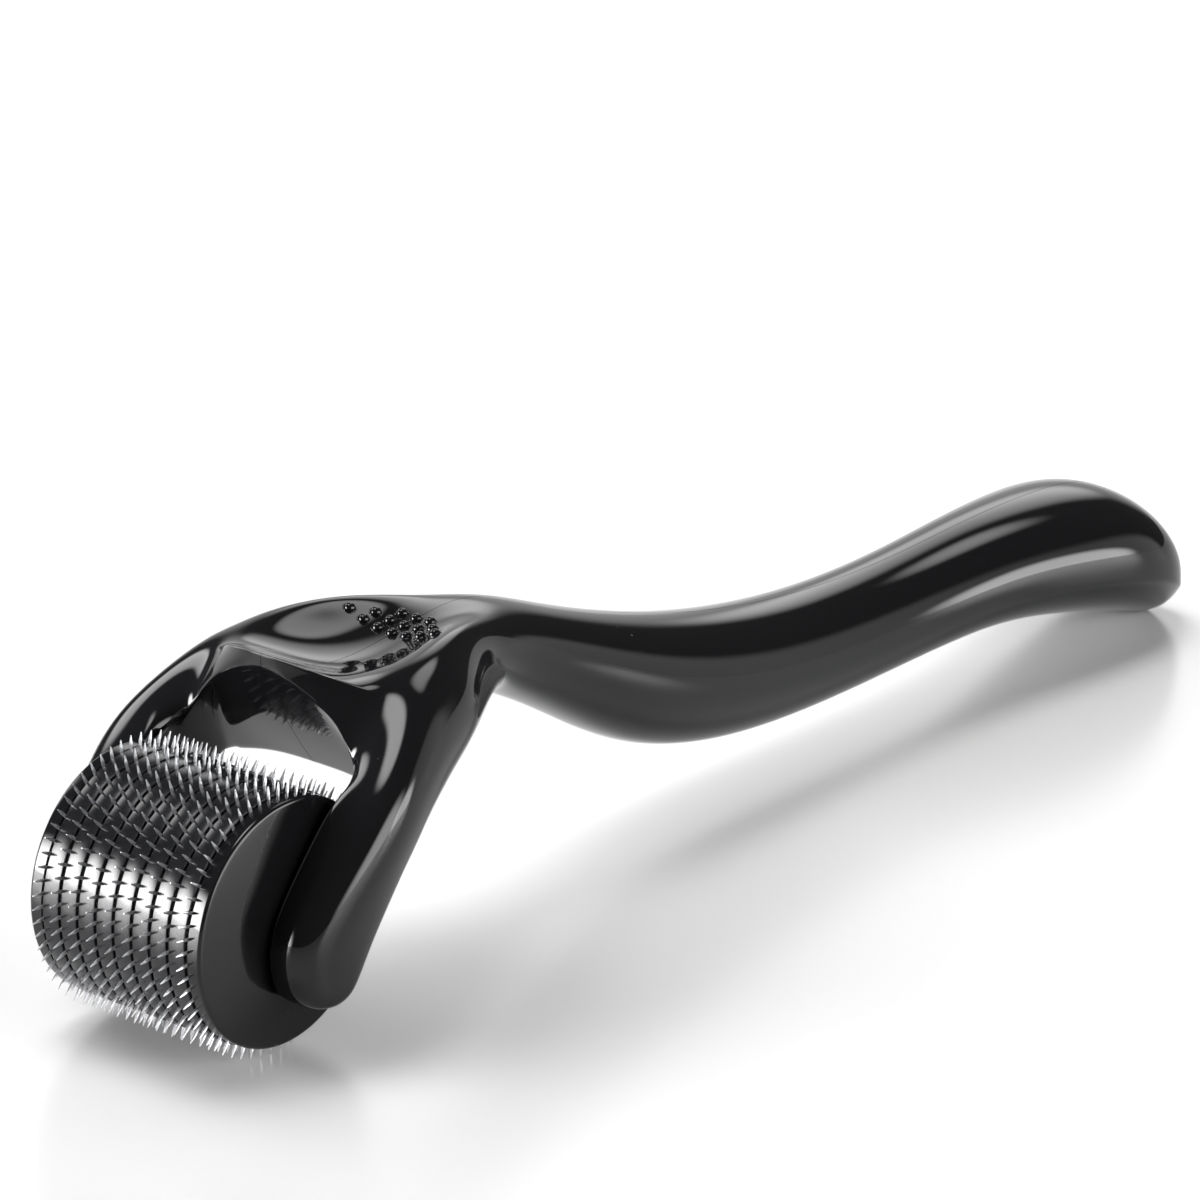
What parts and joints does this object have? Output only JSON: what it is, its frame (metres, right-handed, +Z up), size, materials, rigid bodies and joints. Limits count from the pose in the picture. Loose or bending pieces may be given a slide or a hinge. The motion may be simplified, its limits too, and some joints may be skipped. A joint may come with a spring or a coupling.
{
  "type": "derma roller",
  "caption": "Handheld derma roller: a drum of stacked needle discs and spacer rings turning freely in the fork of a glossy two-part moulded handle.",
  "frame": {"origin": "centre of the bounding box in plan, at the table the roller lies on", "axes": "+X from the drum to the handle's tail, +Y along the drum's axis to the right half, +Z up from the table"},
  "size_m": [0.1383, 0.0296, 0.0292],
  "materials": {
    "handle_plastic": "high gloss black, as moulded",
    "cap_plastic": "high gloss black, as moulded",
    "ring_plastic": "gloss black",
    "core_plastic": "plain dark grey, hidden",
    "needle_steel": "bright stainless steel, etched and polished"
  },
  "bodies": {
    "handle": {"handle_left_half": "handle_plastic", "handle_right_half": "handle_plastic"},
    "roller": {"left_end_cap": "cap_plastic", "right_end_cap": "cap_plastic", "roller_core": "core_plastic", "needle_disc_1": "needle_steel", "needle_disc_2": "needle_steel", "needle_disc_3": "needle_steel", "needle_disc_4": "needle_steel", "needle_disc_5": "needle_steel", "needle_disc_6": "needle_steel", "needle_disc_7": "needle_steel", "needle_disc_8": "needle_steel", "needle_disc_9": "needle_steel", "spacer_ring_1": "ring_plastic", "spacer_ring_2": "ring_plastic", "spacer_ring_3": "ring_plastic", "spacer_ring_4": "ring_plastic", "spacer_ring_5": "ring_plastic", "spacer_ring_6": "ring_plastic", "spacer_ring_7": "ring_plastic", "spacer_ring_8": "ring_plastic"}
  },
  "joints": [
    {"name": "roller_spin", "type": "hinge", "parent": "handle", "child": "roller", "pos_m": [-0.05792, 0, 0.01125], "axis": [0, 1, 0], "continuous": true}
  ]
}
